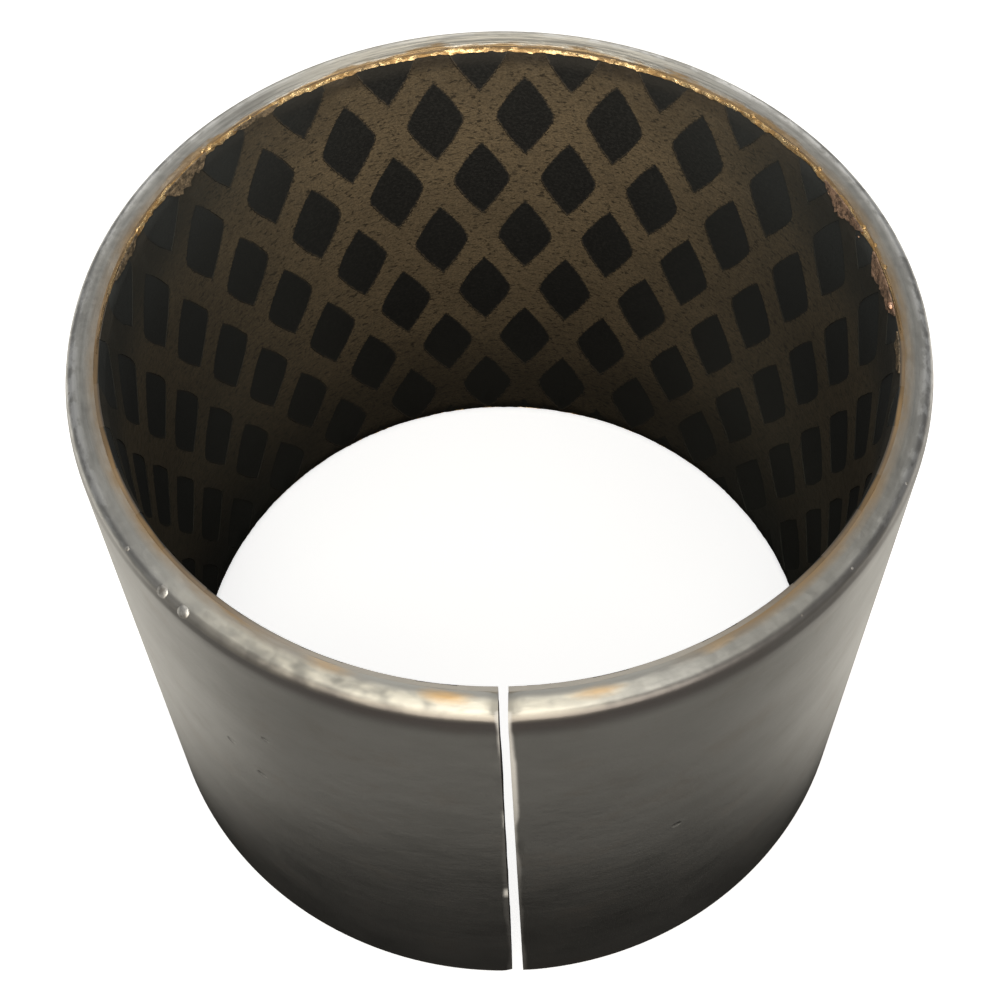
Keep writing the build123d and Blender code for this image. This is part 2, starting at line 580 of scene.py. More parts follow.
def lattice_cell(size, name, centre):
    """One tile of the bronze with its pocket pressed in, and the pocket's mouth marked for the finish."""
    cell = outline_face(name, tile_outline(size), centre)
    edit(cell)
    bpy.ops.mesh.select_mode(type="FACE")
    bpy.ops.mesh.inset(thickness=0.3, depth=0)
    mesh = bmesh.from_edit_mesh(cell.data)
    inner = next(face for face in mesh.faces if face.select)
    corners = sorted(inner.verts, key=lambda v: turn_from_top(v.co - centre))
    for vertex, point in zip(corners, sorted(pocket_outline(size), key=turn_from_top)):
        vertex.co = point + centre
    mouth = mesh.verts.layers.float.new("mouth")
    for vertex in inner.verts:
        vertex[mouth] = 1.0
    bmesh.update_edit_mesh(cell.data)
    extrude(0, 0, size.pocket_depth)
    return cell


def lean_over(size, point):
    """Leans a point of the upright lattice by the lattice's lean."""
    return Vector((point.x, point.y - tan(size.lean) * (point.x - size.first_column), point.z))


def torn_share(size, across):
    """How torn the bronze is at a place round the bore: most behind, nothing in front of the sides."""
    return 1 - min(1, max(0, (abs(across - size.girth / 2) - TORN_BEHIND) / TORN_FADE))


def torn_end(size, across, depth):
    """How far the torn end of the bronze lies below the end face: it slopes into the bore behind."""
    slope = min(1, max(0, (size.lining - depth) / SLOPE_WIDTH))
    return TORN_LEVEL + TORN_SLOPE * torn_share(size, across) * slope


def lead_in(size, height):
    """Depth of the lead-in below the bore at a height."""
    end = max(size.lead_in_length - height, height - size.length + size.lead_in_length, 0)
    return size.lead_in_depth * end / size.lead_in_length


def wavered(size, point, depth, short=0.0, still=False):
    """A point pressed to a depth, shifted a little unless it is still, and kept off the torn ends.

    The shift is the same for every piece that meets there, and fades out towards both ends.
    """
    shift = noise.noise_vector(Vector((point.x * 1.3, point.y * 1.3, 3.7))) * WAVER
    fade = 0 if still else max(0, min(1, point.y / 2, (size.length - point.y) / 2))
    torn = torn_end(size, point.x, depth) + short
    height = min(max(point.y + shift.y * fade, torn), size.length - torn)
    return Vector((point.x + shift.x * fade, height, depth))


# ---------------------------------------------------------------- finishes


class Value:
    """A number, colour or vector that a finish works out over its surface."""

    def __init__(self, finish, socket):
        self.finish = finish
        self.socket = socket

    def reckon(self, operation, second=0.0, third=0.0):
        """One sum with one or two other values."""
        return self.finish.add("ShaderNodeMath", {0: self, 1: second, 2: third}, operation=operation)

    def __add__(self, other):
        return self.reckon("ADD", other)

    def __sub__(self, other):
        return self.reckon("SUBTRACT", other)

    def __mul__(self, other):
        return self.reckon("MULTIPLY", other)

    def __abs__(self):
        return self.reckon("ABSOLUTE")

    def __rsub__(self, number):
        return self.finish.add("ShaderNodeMath", {0: number, 1: self}, operation="SUBTRACT")

    def scaled(self, factor, plus):
        """The value times a factor, plus a number."""
        return self.reckon("MULTIPLY_ADD", factor, plus)

    def at_least(self, other):
        """The higher of two values."""
        return self.reckon("MAXIMUM", other)

    def slope(self, low, high, to_low, to_high, bend="LINEAR"):
        """The value mapped in a straight line from one range to another and held at its ends."""
        inputs = {"Value": self, "From Min": low, "From Max": high, "To Min": to_low, "To Max": to_high}
        return self.finish.add("ShaderNodeMapRange", inputs, interpolation_type=bend)

    def ramp(self, low, high, to_low=0.0, to_high=1.0):
        """The same with soft ends."""
        return self.slope(low, high, to_low, to_high, "SMOOTHSTEP")

    def band(self, rise, full, fade, gone):
        """1 in the middle of a band, fading out on both sides."""
        return self.ramp(rise, full) * self.ramp(fade, gone, 1, 0)

    def near_ends(self, size, start, full):
        """For a height: 1 within a distance of either end, fading out further in."""
        upper = self.ramp(size.length - start, size.length - full)
        return upper.at_least(self.ramp(full, start, 1, 0))


class Finish:
    """A finish while it is mixed: its material, and its colour and relief so far."""

    def __init__(self, name):
        self.material = bpy.data.materials.new(name)
        self.material.use_nodes = True
        self.tree = self.material.node_tree
        self.tree.nodes.clear()
        self.colour = None
        self.relief = None

    def add(self, kind, inputs, output=0, **settings):
        """Adds a node, sets or links its inputs and gives the value that comes out of it."""
        node = self.tree.nodes.new(kind)
        count = len(self.tree.nodes)
        node.location = (count * 40, -(count % 7) * 60)
        for name, value in settings.items():
            setattr(node, name, value)
        for name, value in inputs.items():
            socket = node.inputs[name]
            if isinstance(value, Value):
                self.tree.links.new(value.socket, socket)
            elif socket.type == "RGBA":
                socket.default_value = (*value, 1)
            else:
                socket.default_value = value
        return Value(self, node.outputs[output]) if node.outputs else None

    def kept(self, name, output="Fac"):
        """What the piece keeps at its vertices under a name."""
        return self.add("ShaderNodeAttribute", {}, output, attribute_name=name)

    def strip(self, stretch=(1, 1, 1), shift=(0, 0, 0)):
        """The place on the flat strip, stretched and shifted for a pattern."""
        place = self.kept("strip", "Vector")
        return self.add("ShaderNodeMapping", {"Vector": place, "Scale": stretch, "Location": shift})

    def split(self, vector):
        """The X, Y and Z of a vector."""
        parts = self.add("ShaderNodeSeparateXYZ", {0: vector}).socket.node.outputs
        return [Value(self, part) for part in parts]

    def places(self, size):
        """Where a point lies along the strip, up it and deep in it, and how far from the back."""
        across, height, depth = self.split(self.strip())
        return across, height, depth, abs(across - size.girth / 2)

    def distance(self, vector, point=(0, 0, 0)):
        """Distance of a place from a point."""
        return self.add("ShaderNodeVectorMath", {0: vector, 1: point}, "Value", operation="DISTANCE")

    def pattern(self, stretch, shift=(0, 0, 0), detail=4, roughness=0.55, distortion=0):
        """A noise pattern from 0 to 1 over the flat strip."""
        inputs = {"Vector": self.strip(stretch, shift), "Scale": 1, "Detail": detail}
        inputs |= {"Roughness": roughness, "Distortion": distortion}
        return self.add("ShaderNodeTexNoise", inputs)

    def between(self, share, first, second):
        """A value between two others, by a share."""
        return self.add("ShaderNodeMix", {0: share, 2: first, 3: second})

    def mix(self, share, first, second):
        """A colour between two others, by a share."""
        return self.add("ShaderNodeMix", {0: share, 6: first, 7: second}, 2, data_type="RGBA")

    def lay(self, share, colour):
        """Lays a colour over the colour so far, by a share."""
        self.colour = self.mix(share, self.colour, colour)

    def bump(self, pattern, distance, strength):
        """Raises a pattern over the relief so far, by a distance in metres."""
        inputs = {"Height": pattern, "Distance": distance, "Strength": strength}
        if self.relief is not None:
            inputs["Normal"] = self.relief
        self.relief = self.add("ShaderNodeBump", inputs)

    def complete(self, **inputs):
        """Adds the surface shader and the output, and gives the material."""
        named_inputs = {name.replace("_", " "): value for name, value in inputs.items()}
        named_inputs["Base Color"] = self.colour
        if self.relief is not None:
            named_inputs["Normal"] = self.relief
        shader = self.add("ShaderNodeBsdfPrincipled", named_inputs)
        self.add("ShaderNodeOutputMaterial", {"Surface": shader})
        return self.material


def rub_graphite_and_paint_side_light(finish, size, places, dark, pale):
    """Lays the rubbed-on graphite and gives its share: it covers the sides, most of all near the ends.

    It is partly painted light: painted shade at the sides of the bronze and a painted sheen on the graphite.
    Low in the bore it is paler, most of all to the right of the seam, which on the graphite is painted light.
    """
    across, height, _, from_back = places
    side = from_back.ramp(5, 23) * from_back.ramp(42, 54, 1, 0.4)
    veil_and_side_light = side * height.near_ends(size, 8.0, 2.0).scaled(0.33, 0.63)
    low = height.ramp(7, 24, 1, 0) * across.ramp(40, 90, 1.0, 0.6)
    finish.lay(veil_and_side_light, finish.mix(low, dark, pale))
    return veil_and_side_light


def clean_end(finish, size, places, patches):
    """Lays the end face and its rounded edge, which are cleaner than the wall.

    Gives the share of the part near the seam, of the clean part, and of its turned part, which leaves
    out the seam.
    """
    _, height, _, from_back = places
    at_seam = from_back.ramp(34, 50)
    clean = height.near_ends(size, 0.5, 0.2)
    shine = finish.between(at_seam, patches.ramp(0.3, 0.7, 0.45, 0.85), 0.65)
    finish.lay(clean * shine, CLEAN_FACE)
    return at_seam, clean, clean * (1.0 - at_seam)


def face_marks(finish, clean, turned, lines, places):
    """Lays the end face's painted highlight behind, its streaks and spots, its painted shade right of the
    seam, its painted cream highlight beside the seam and its rubbed outer edge with a painted highlight.
    """
    across, _, depth, from_back = places
    right_half = across.ramp(60, 66, 1, 0)
    # painted highlight: the end face is painted bright behind, most at the back
    finish.lay(turned * from_back.ramp(4, 16, 0.82, 0.0), PAINTED_HIGHLIGHT_BEHIND)
    streaks = lines.ramp(0.44, 0.58) * turned * from_back.ramp(8, 24, 0.72, 0.22)
    finish.lay(streaks, STREAK)
    spots = finish.pattern((1.1, 1.0, 1.9), (4, 4, 1), roughness=0.6).ramp(0.42, 0.62)
    finish.lay(spots * turned * from_back.ramp(10, 22, 0, 0.25), SPOT)
    # painted shade on the right of the seam, and a little at the right side
    dull = across.band(5, 10.5, 21, 30).at_least(from_back.ramp(16, 26, 0, 0.35) * right_half)
    finish.lay(dull * clean * 0.50, PAINTED_SHADE_ON_FACE)
    rim_line = depth.band(1.50, 1.62, 1.64, 1.74) * clean * from_back.ramp(12, 20, 0, 0.38)
    finish.lay(rim_line, RIM_LINE)
    # beside the seam a painted highlight, cream, in blots
    blots = finish.pattern((0.8, 0.4, 1.1), (6, 1, 2), detail=2, roughness=0.45)
    blots += from_back.ramp(57, 61, 0, 0.16)
    painted_cream_highlight = finish.mix(blots.ramp(0.31, 0.66), DARK_CREAM, CREAM)
    nearer = from_back - across.slope(60, 66, 8.3, -1.5)
    finish.lay(clean * nearer.ramp(46, 55) * depth.ramp(0.55, 1.10) * 0.9, painted_cream_highlight)
    # its rounded outer edge is rubbed bright, partly wear and partly a painted highlight, least at the back
    rubbed = finish.pattern((0.8, 1.5, 1.5), (8, 2, 6), roughness=0.6).ramp(0.42, 0.58, 0.25, 1.0)
    outer = depth.ramp(1.1, 1.5) * turned * rubbed * across.band(56, 64, 74, 82).scaled(-0.55, 1.0)
    finish.lay(outer, RUBBED_EDGE_AND_HIGHLIGHT)


def paint_shade_line(finish, size, places):
    """Lays a dark line of painted shade where the upper chamfer runs out into the wall, strongest near the
    seam.
    """
    across, height, depth, from_back = places
    right_side = from_back.ramp(33, 38, 0, 0.40) * across.ramp(60, 66, 1, 0)
    shaded = right_side.at_least(from_back.ramp(40, 58, 0.05, 0.72))
    line = height.ramp(size.length - 1.9, size.length - 0.45) * depth.ramp(1.43, 1.82)
    finish.lay(line * shaded, PAINTED_SHADE_LINE)


def bronze_smears(finish, size, clean, places):
    """Lays the bronze smeared over the inner part of the end face, and its bright orange spots."""
    _, _, depth, from_back = places
    smear = finish.pattern((0.30, 0.3, 1.2), (2, 5, 0), detail=5, roughness=0.6)
    edge = depth + smear.slope(0.35, 0.75, 0.30, -0.50)
    stain = edge.ramp(0.50, 0.80, 1, 0) * clean * from_back.ramp(16, 26, 1, 0.15)
    soft = depth.slope(0.42, 1.0, 1, 0) * smear.ramp(0.38, 0.60, 0.45, 1.0) * clean * from_back.ramp(14, 26)
    finish.lay(stain.at_least(soft) * from_back.ramp(50, 57.5, 1, 0) * 0.9, SMEARED_BRONZE)
    for across, deep, strength in ORANGE_SPOTS:
        place = finish.strip((0.75, 0.5, 2.6), (-across * 0.75, 0.5 - size.length * 0.5, -deep * 2.6))
        away = finish.distance(place) + smear.slope(0.35, 0.65, -0.25, 0.25)
        finish.lay(away.ramp(0.1, 1.25, 1, 0) * strength * clean, ORANGE)


def worn_corners(finish, places):
    """Lays the bright metal where the broken corners of the seam are rubbed, and gives its share."""
    across, height, _, _ = places
    rub = finish.pattern((0.3, 0.16, 0.3), (5, 5, 5), detail=3, roughness=0.5)
    bright = (finish.kept("worn") + rub.slope(0.35, 0.65, -0.45, 0.15)).ramp(0.25, 0.8)
    far_side = across.ramp(60, 61)
    rubbed = finish.between(far_side, height.ramp(14, 31, 0.12, 1.0), height.ramp(30, 33, 0.08, 1.0))
    for chip, half in CORNER_CHIPS:
        rubbed = rubbed.at_least(abs(height - chip).ramp(half * 0.1, half, 1, 0) * far_side)
    bright *= rubbed
    finish.lay(bright * 0.8, RUBBED_CORNER)
    return bright


def steel_finish(colours, size):
    """Rolled steel: brushed and clouded, with its end face turned, marked and smeared with bronze, and with
    painted highlights and painted shade on its end face and outer edge.
    """
    finish = Finish("rolled steel")
    places = finish.places(size)
    from_back = places[3]
    clouds = finish.pattern((0.08, 0.10, 0.2), detail=5, roughness=0.6)
    patches = finish.pattern((0.30, 0.36, 0.4), (7, 3, 1), detail=6, roughness=0.65)
    brush = finish.pattern((0.10, 5, 9), detail=6, roughness=0.7)
    grain = finish.pattern((9, 9, 9), detail=3)
    lines = finish.pattern((0.16, 2.4, 5.0), (1, 2, 6), detail=5, roughness=0.6)
    ribs = finish.pattern((0.9, 0.6, 0.9), (3, 0, 0), detail=2, roughness=0.45)
    finish.colour = finish.mix(clouds.ramp(0.35, 0.7), colours.steel, colours.steel_dark)
    finish.lay(patches.ramp(0.5, 0.75) * 0.3, BROWN_CAST)
    finish.lay(grain.ramp(0.5, 0.8) * 0.12, DARK_GRAIN)
    at_seam, clean, turned = clean_end(finish, size, places, patches)
    face_marks(finish, clean, turned, lines, places)
    paint_shade_line(finish, size, places)
    # scratches round the end face
    finish.lay(brush.ramp(0.56, 0.66) * turned * 0.2, SCRATCH)
    bronze_smears(finish, size, clean, places)
    bright = worn_corners(finish, places)
    rough = patches.slope(0.25, 0.8, 0.29, 0.36) + brush.slope(0.3, 0.7, -0.02, 0.03)
    rough = rough + clean * at_seam * 0.10 + bright * 0.25
    finish.bump(clouds, 0.00025, 0.5)
    finish.bump(ribs * clean, 0.00005, 0.8)
    finish.bump(lines * (turned * from_back.ramp(10, 24, 1.0, 0.2)), 0.00005, 0.8)
    finish.bump(grain, 0.000004, 0.8)
    for across, height, radius in WALL_PITS:
        away = finish.distance(finish.strip(), (across, height, size.wall))
        finish.bump(away.ramp(radius * 0.3, radius), 0.00006, 1.0)
    return finish.complete(Metallic=1.0 - bright * 0.85, Roughness=rough)


def bronze_finish(colours, size):
    """Sintered bronze: olive brown in the bore with dark pores and rub marks, duller where the end is cut;
    painted shade darkens its sides, its upper end, its lead-ins, its foot and its pockets' sides.
    """
    finish = Finish("sintered bronze")
    places = across, height, depth, from_back = finish.places(size)
    mottle = finish.pattern((1.5, 2.4, 1.5), roughness=0.65)
    fleck = finish.pattern((2.4, 5.2, 3), roughness=0.62, distortion=0.7)
    glints = finish.pattern((3.0, 7.5, 3), (9, 4, 2), detail=3, roughness=0.6)
    grit = finish.pattern((6.2, 7.5, 5), (1, 8, 3), detail=3, roughness=0.8, distortion=0.4)
    clouds = finish.pattern((0.2, 0.25, 1), (4, 1, 0), detail=3)
    finish.colour = finish.mix(clouds.ramp(0.3, 0.7), colours.bronze, BRONZE_CLOUD)
    finish.lay(mottle.ramp(0.4, 0.7) * 0.45, BRONZE_MOTTLE)
    finish.lay(glints.ramp(0.52, 0.72) * 0.6, GLINT)
    finish.lay(fleck.ramp(0.555, 0.62) * 0.8, colours.bronze_dark)
    finish.lay(grit.ramp(0.42, 0.62) * 0.52, GRIT)
    # graphite is smudged round the mouths of the pockets, and their sides are darkened with painted shade
    mouth = finish.kept("mouth")
    pocket_side = mouth.ramp(0.984, 0.996)
    smudge_and_pocket_shade = (mouth + grit.slope(0.35, 0.65, -0.22, 0.10)).at_least(pocket_side)
    finish.lay(smudge_and_pocket_shade.ramp(0.86, 1.0) * 0.85, SMUDGE_AND_POCKET_SHADE)
    # it is rubbed over the bronze at the sides too, most of all near the ends, and darkens them as painted
    # shade
    veil_and_side_light = rub_graphite_and_paint_side_light(finish, size, places, *VEIL_AND_SHADE_ON_BRONZE)
    # painted shade darkens the bronze towards the upper end, on the lead-ins near both ends, and at its foot
    lead = size.lead_in_length
    finish.lay(height.ramp(size.length - 7, size.length - 1.2) * 0.30, BRONZE_TOP_SHADE)
    lead_in_shade = height.near_ends(size, lead * 1.7, lead * 0.6) * veil_and_side_light.scaled(-0.7, 0.84)
    finish.lay(lead_in_shade, BRONZE_LEAD_IN_SHADE)
    finish.lay(height.ramp(3, 14, 1, 0) * across.ramp(30, 48, 0.35, 0.65), BRONZE_FOOT_SHADE)
    # the cut end is brown behind and dull grey towards the seam, with a dark inner edge
    cut_end = height.near_ends(size, 0.22, 0.16) * depth.ramp(0.19, 0.22)
    end_colour = finish.mix(clouds.ramp(0.35, 0.65), CUT_END, DARK_CUT_END)
    end_colour = finish.mix(depth.ramp(0.22, 0.34), INNER_EDGE, end_colour)
    end_colour = finish.mix(from_back.ramp(45, 57), end_colour, GREY_CUT_END)
    finish.lay(cut_end, end_colour)
    finish.bump(fleck, 0.000018, 0.8)
    finish.bump(grit, 0.000022, 0.8)
    finish.bump(mottle, 0.00004, 0.6)
    return finish.complete(
        Metallic=veil_and_side_light.scaled(-0.45, 0.5) * (1.0 - pocket_side),
        Specular_IOR_Level=pocket_side.scaled(-0.5, 0.5),
        Roughness=mottle.slope(0.3, 0.7, 0.45, 0.62).at_least(pocket_side),
    )


def graphite_finish(colours, size):
    """Pressed graphite: nearly black, faintly grained, with bronze dust rubbed over its edges; a painted
    sheen makes it paler at the sides and on the lead-ins, and painted light makes it paler low in the bore.
    """
    finish = Finish("pressed graphite")
    places = finish.places(size)
    height = places[1]
    grain = finish.pattern((5, 6, 4), detail=5, roughness=0.7)
    rub = finish.pattern((1.0, 5, 1), (3, 0, 0))
    ragged = finish.pattern((3.2, 4.5, 1), (1, 2, 0), detail=5, roughness=0.7)
    lead = size.lead_in_length
    finish.colour = finish.mix(grain.ramp(0.42, 0.68), colours.graphite, GRAPHITE_GRAIN)
    finish.lay(rub.ramp(0.55, 0.75) * 0.3, GRAPHITE_RUB)
    # rubbed graphite and a painted sheen make the graphite paler at the sides
    veil_and_side_light = rub_graphite_and_paint_side_light(finish, size, places, *VEIL_AND_SHEEN_ON_GRAPHITE)
    # painted sheen: the graphite is paler on the lead-ins
    lead_in_sheen = height.near_ends(size, lead * 1.6, lead * 0.55)
    finish.lay(lead_in_sheen * veil_and_side_light.scaled(-0.5, 0.55), GRAPHITE_LEAD_IN_SHEEN)
    # painted light: the graphite is paler low in the bore
    finish.lay(height.ramp(3, 13, 1, 0) * 0.5, GRAPHITE_FOOT_LIGHT)
    dust = (finish.kept("edge") + ragged.slope(0.3, 0.7, -0.06, 0.06)).ramp(0.94, 1.0)
    finish.lay(dust * veil_and_side_light.scaled(-0.75, 0.75), BRONZE_DUST)
    finish.bump(grain, 0.00003, 0.9)
    roughness = grain.slope(0.3, 0.7, 0.58, 0.75)
    return finish.complete(Metallic=0.0, Specular_IOR_Level=0.3, Roughness=roughness)


def burr_finish(name, bright, dull, size=None):
    """Torn or melted metal, bright in spots; given the strip's sizes, browner towards the seam."""
    finish = Finish(name)
    spark = finish.pattern((1.7, 4, 4), roughness=0.65)
    tone = finish.pattern((0.35, 1, 1), (9, 0, 0), detail=3)
    finish.colour = finish.mix(spark.ramp(0.44, 0.60), dull, bright)
    finish.lay(tone.ramp(0.45, 0.7) * 0.6, BURR_TONE)
    if size is not None:
        from_back = finish.places(size)[3]
        away = from_back + tone.slope(0.3, 0.7, -5, 5)
        finish.lay(away.ramp(22, 34), BURR_BROWN)
    finish.bump(spark, 0.00007, 1.0)
    return finish.complete(Metallic=1.0, Roughness=spark.slope(0.40, 0.62, 0.50, 0.16))


def flake_finish(name, bright, dull):
    """Smeared metal, dull and crumpled."""
    finish = Finish(name)
    crumple = finish.pattern((3.0, 4.5, 3), detail=5, roughness=0.75)
    finish.colour = finish.mix(crumple.ramp(0.38, 0.64), dull, bright)
    finish.bump(crumple, 0.00012, 1.0)
    return finish.complete(Metallic=0.55, Roughness=crumple.slope(0.35, 0.65, 0.62, 0.38))


def spatter_finish():
    """Bright spatter beads with a dull skin."""
    finish = Finish("spatter beads")
    skin = finish.pattern((2.5, 2.5, 2.5))
    finish.colour = finish.mix(skin.ramp(0.4, 0.65), *SPATTER_METAL)
    finish.bump(skin, 0.00002, 0.6)
    return finish.complete(Metallic=1.0, Roughness=skin.slope(0.3, 0.7, 0.38, 0.55))


def floor_finish(colour):
    """Pale floor that glows a little, so that it shows no shade."""
    finish = Finish("pale floor")
    glow = finish.add("ShaderNodeEmission", {"Color": colour, "Strength": 0.85})
    matt = finish.add("ShaderNodeBsdfDiffuse", {"Color": colour})
    both = finish.add("ShaderNodeAddShader", {0: glow, 1: matt})
    finish.add("ShaderNodeOutputMaterial", {"Surface": both})
    return finish.material


def board_finish():
    """Bounce board under the bushing with a painted shadow: black close to it, and paler behind than in
    front.
    """
    finish = Finish("bounce board")
    place = finish.add("ShaderNodeTexCoord", {}, "Object")
    away = finish.distance(place, (0, -0.008, 0))
    from_axis = finish.distance(place)
    behind = finish.split(place)[1].ramp(-0.027, -0.001)
    pale = finish.mix(behind, BOARD_FRONT_SHADOW, BOARD_PALE)
    # painted shadow: black close to the bushing, reaching further in front
    lit = away.ramp(0.0193, 0.028) * from_axis.ramp(0.0205, 0.0215)
    finish.colour = finish.mix(lit, BOARD_SHADOW, pale)
    return finish.complete(Roughness=0.9)


# ---------------------------------------------------------------- pieces


def edge_centre(size):
    """Depth at which the rounding of the outer edge has its centre."""
    corner = size.wall - size.chamfer_length * tan(size.chamfer_angle)
    return corner - size.edge_radius / tan((pi / 2 + size.chamfer_angle) / 2)


def backing_section(size):
    """Outline of the steel's section, from the bond over the upper end and down the wall, then back."""
    length, wall, angle = size.length, size.wall, size.chamfer_angle
    half = []
    for across in (size.lining, 0.52, 0.62, 0.73, FACE_CREST, 1.0, 1.14, 1.28):
        fall, reach = (0.06, 0.41) if across < FACE_CREST else (0.018, 0.54)
        half.append((fall * ((across - FACE_CREST) / reach) ** 2, across))
    for tilt in range(6, 76, 8):
        turn = radians(tilt)
        drop = size.edge_radius * (1 - cos(turn)) + EDGE_LEVEL
        half.append((drop, edge_centre(size) + size.edge_radius * sin(turn)))
    for below in (0.52, 0.64, 0.74):
        half.append((below, wall - (size.chamfer_length + EDGE_LEVEL - below) * tan(angle) - 0.001))
    half += [(0.86, wall - 0.006), (1.02, wall)]
    upper = [Vector((0, length - down, across)) for down, across in half]
    lower = [Vector((0, down, across)) for down, across in reversed(half)]
    return upper + [Vector((0, length / 2, wall))] + lower


class BUSHING_OT_steel(bpy.types.Operator):
    """Rolls the steel backing, with its chamfered and rounded ends and its broken seam edges"""

    bl_idname = "bushing.steel"
    bl_label = "Steel backing"

    def execute(self, context):
        size = in_millimetres(context.scene.bushing_sizes)
        length, wall = size.length, size.wall
        backing = draw_out(size, "rolled_steel_backing", backing_section(size), OVERRUN, BACKING_SLICES)
        edit(backing)
        for row in range(1, BACKING_ROWS):
            score((0, length * row / BACKING_ROWS, 0), (0, 1, 0))
        planes = seam_planes(size)
        for point, normal in planes:
            trim(point, normal)
            for inward in SEAM_LINES:
                score(point - normal * inward, normal)

        def from_seam(point):
            """Distance of a point from the nearer end of the strip."""
            return min(abs((point - place).dot(normal)) for place, normal in planes)

        def outer_corner(edge):
            """Whether an edge runs up an outer corner of the strip's two ends."""
            ends = [v.co for v in edge.verts]
            on_corner = all(from_seam(end) < WELD and end.z > wall - 0.2 for end in ends)
            return on_corner and abs(ends[0].y - ends[1].y) > 0.05

        pick(backing, "EDGE", outer_corner)
        bpy.ops.mesh.bevel(
            offset=size.seam_break, segments=3, profile=0.5, affect="EDGES", clamp_overlap=True
        )
        clear_bench()

        def worn(point):
            """How rubbed the steel is: most at the seam's outer corners."""
            return max(0.0, 1 - from_seam(point) / WORN_REACH) if point.z > wall - 0.6 else 0.0

        def handled(point):
            """Rounds the strip's ends towards the end faces and chips their outer corners."""
            near = from_seam(point)
            if near < 0.8:
                rounding = 0.11 * (1 - near / 0.8) ** 2
                at_end = max(0.0, 1 - point.y / 0.6, 1 - (length - point.y) / 0.6)
                inward = 1 if point.y < length / 2 else -1
                point.y += inward * rounding * min(1, at_end * 1.5)
            if near < 0.45 and point.z > wall - 0.5:
                chip = max(0.0, noise.noise(Vector((point.x * 0.02, point.y * 0.9, 8.1))) - 0.22) * 0.5
                point.z -= chip * (1 - near / 0.45)
            return point

        mark(backing, "worn", worn)
        reshape(backing, handled)
        roll(backing, size, 30)
        seat(backing, "backing_steel", steel_finish(context.scene.bushing_finishes, size), "steel_backing")
        return {"FINISHED"}


class BUSHING_OT_lining(bpy.types.Operator):
    """Presses the lattice of pockets into the bronze layer, trims it to the strip and rolls it"""

    bl_idname = "bushing.lining"
    bl_label = "Bronze lining"

    def execute(self, context):
        size = in_millimetres(context.scene.bushing_sizes)
        length = size.length
        first = Vector((size.first_column, length - size.first_pocket + size.pitch, 0))
        even = lattice_cell(size, "even_cell", first - Vector((2 * size.spacing, 0, 0)))
        odd = lattice_cell(size, "odd_cell", first - Vector((size.spacing, size.pitch / 2, 0)))
        lining = join((even, odd), "rolled_bronze_lining")
        repeat(lining, size.columns // 2 + 2, (2 * size.spacing, 0, 0), merge=False)
        repeat(lining, 5, (0, -size.pitch, 0), merge=False)
        reshape(lining, lambda p: lean_over(size, p))
        edit(lining)
        bpy.ops.mesh.remove_doubles(threshold=WELD)

        def unwanted(face):
            """Whether a face belongs to a pocket that the strip doesn't have."""
            place = middle(face)
            return place.z > 0.05 and not has_pocket(size, *tile_of(size, place))

        pick(lining, "FACE", unwanted)
        bpy.ops.mesh.delete(type="FACE")
        bpy.ops.mesh.select_all(action="SELECT")
        bpy.ops.mesh.fill_holes(sides=len(pocket_outline(size)))
        fit_to_strip(size, fill=False)
        # the open edge is drawn down to the bond, and the back is closed and ribbed for the roll
        pick(lining, "EDGE", lambda edge: edge.is_boundary)
        extrude(0, 0, 1)
        mesh = bmesh.from_edit_mesh(lining.data)
        for vertex in mesh.verts:
            if vertex.select:
                vertex.co.z = size.lining
        bmesh.update_edit_mesh(lining.data)
        bpy.ops.mesh.edge_face_add()
        for rib in range(1, int(size.girth / RIB_SPACING)):
            pick(lining, "FACE", lambda face: middle(face).z > size.lining - TOUCH)
            score((rib * RIB_SPACING, 0, 0), (1, 0, 0), everywhere=False)
        clear_bench()

        def pressed(point):
            """Presses the lead-ins in and makes the pockets' edges a little uneven."""
            depth = point.z
            if depth < size.pocket_depth + TOUCH:
                depth = max(depth, lead_in(size, point.y))
            on_edge = not (0 < point.y < length and depth < size.lining - 1e-3)
            return wavered(size, point, depth, still=on_edge)

        reshape(lining, pressed)
        roll(lining, size, 30)
        seat(lining, "lining_bronze", bronze_finish(context.scene.bushing_finishes, size), "bronze_lining")
        return {"FINISHED"}


class BUSHING_OT_graphite(bpy.types.Operator):
    """Fills the pockets with graphite, a column at a time"""

    bl_idname = "bushing.graphite"
    bl_label = "Graphite fills"

    def execute(self, context):
        size = in_millimetres(context.scene.bushing_sizes)
        finish = graphite_finish(context.scene.bushing_finishes, size)
        outline = pocket_outline(size)
        fill = outline_face("fill", outline)
        edit(fill)
        bpy.ops.mesh.select_mode(type="FACE")
        bpy.ops.transform.translate(value=(0, 0, size.pocket_depth))
        extrude(0, 0, size.recess - size.pocket_depth)
        bpy.ops.mesh.poke()
        clear_bench()
        mark(fill, "edge", lambda p: float(any((p - o).to_2d().length < WELD for o in outline)))

        def seated(point):
            """Cuts the fill back with the lead-ins and fits it to its pocket's uneven edge."""
            depth = max(point.z, min(lead_in(size, point.y), size.pocket_depth))
            return wavered(size, point, depth, short=0.02)

        for column in range(size.columns):
            copies = []
            for centre in pocket_centres(size, column):
                copy = fill.copy()
                copy.data = fill.data.copy()
                context.collection.objects.link(copy)
                copy.data.transform(Matrix.Translation(centre))
                copies.append(copy)
            number = f"{column + 1:02d}"
            plugs = join(copies, f"graphite_plugs_{number}")
            edit(plugs)
            fit_to_strip(size, at_seam=column == 0 or column > size.columns - 3)
            clear_bench()
            reshape(plugs, seated)
            roll(plugs, size, 40)
            seat(plugs, "plug_graphite", finish, f"graphite_column_{number}")
        bpy.data.objects.remove(fill)
        return {"FINISHED"}


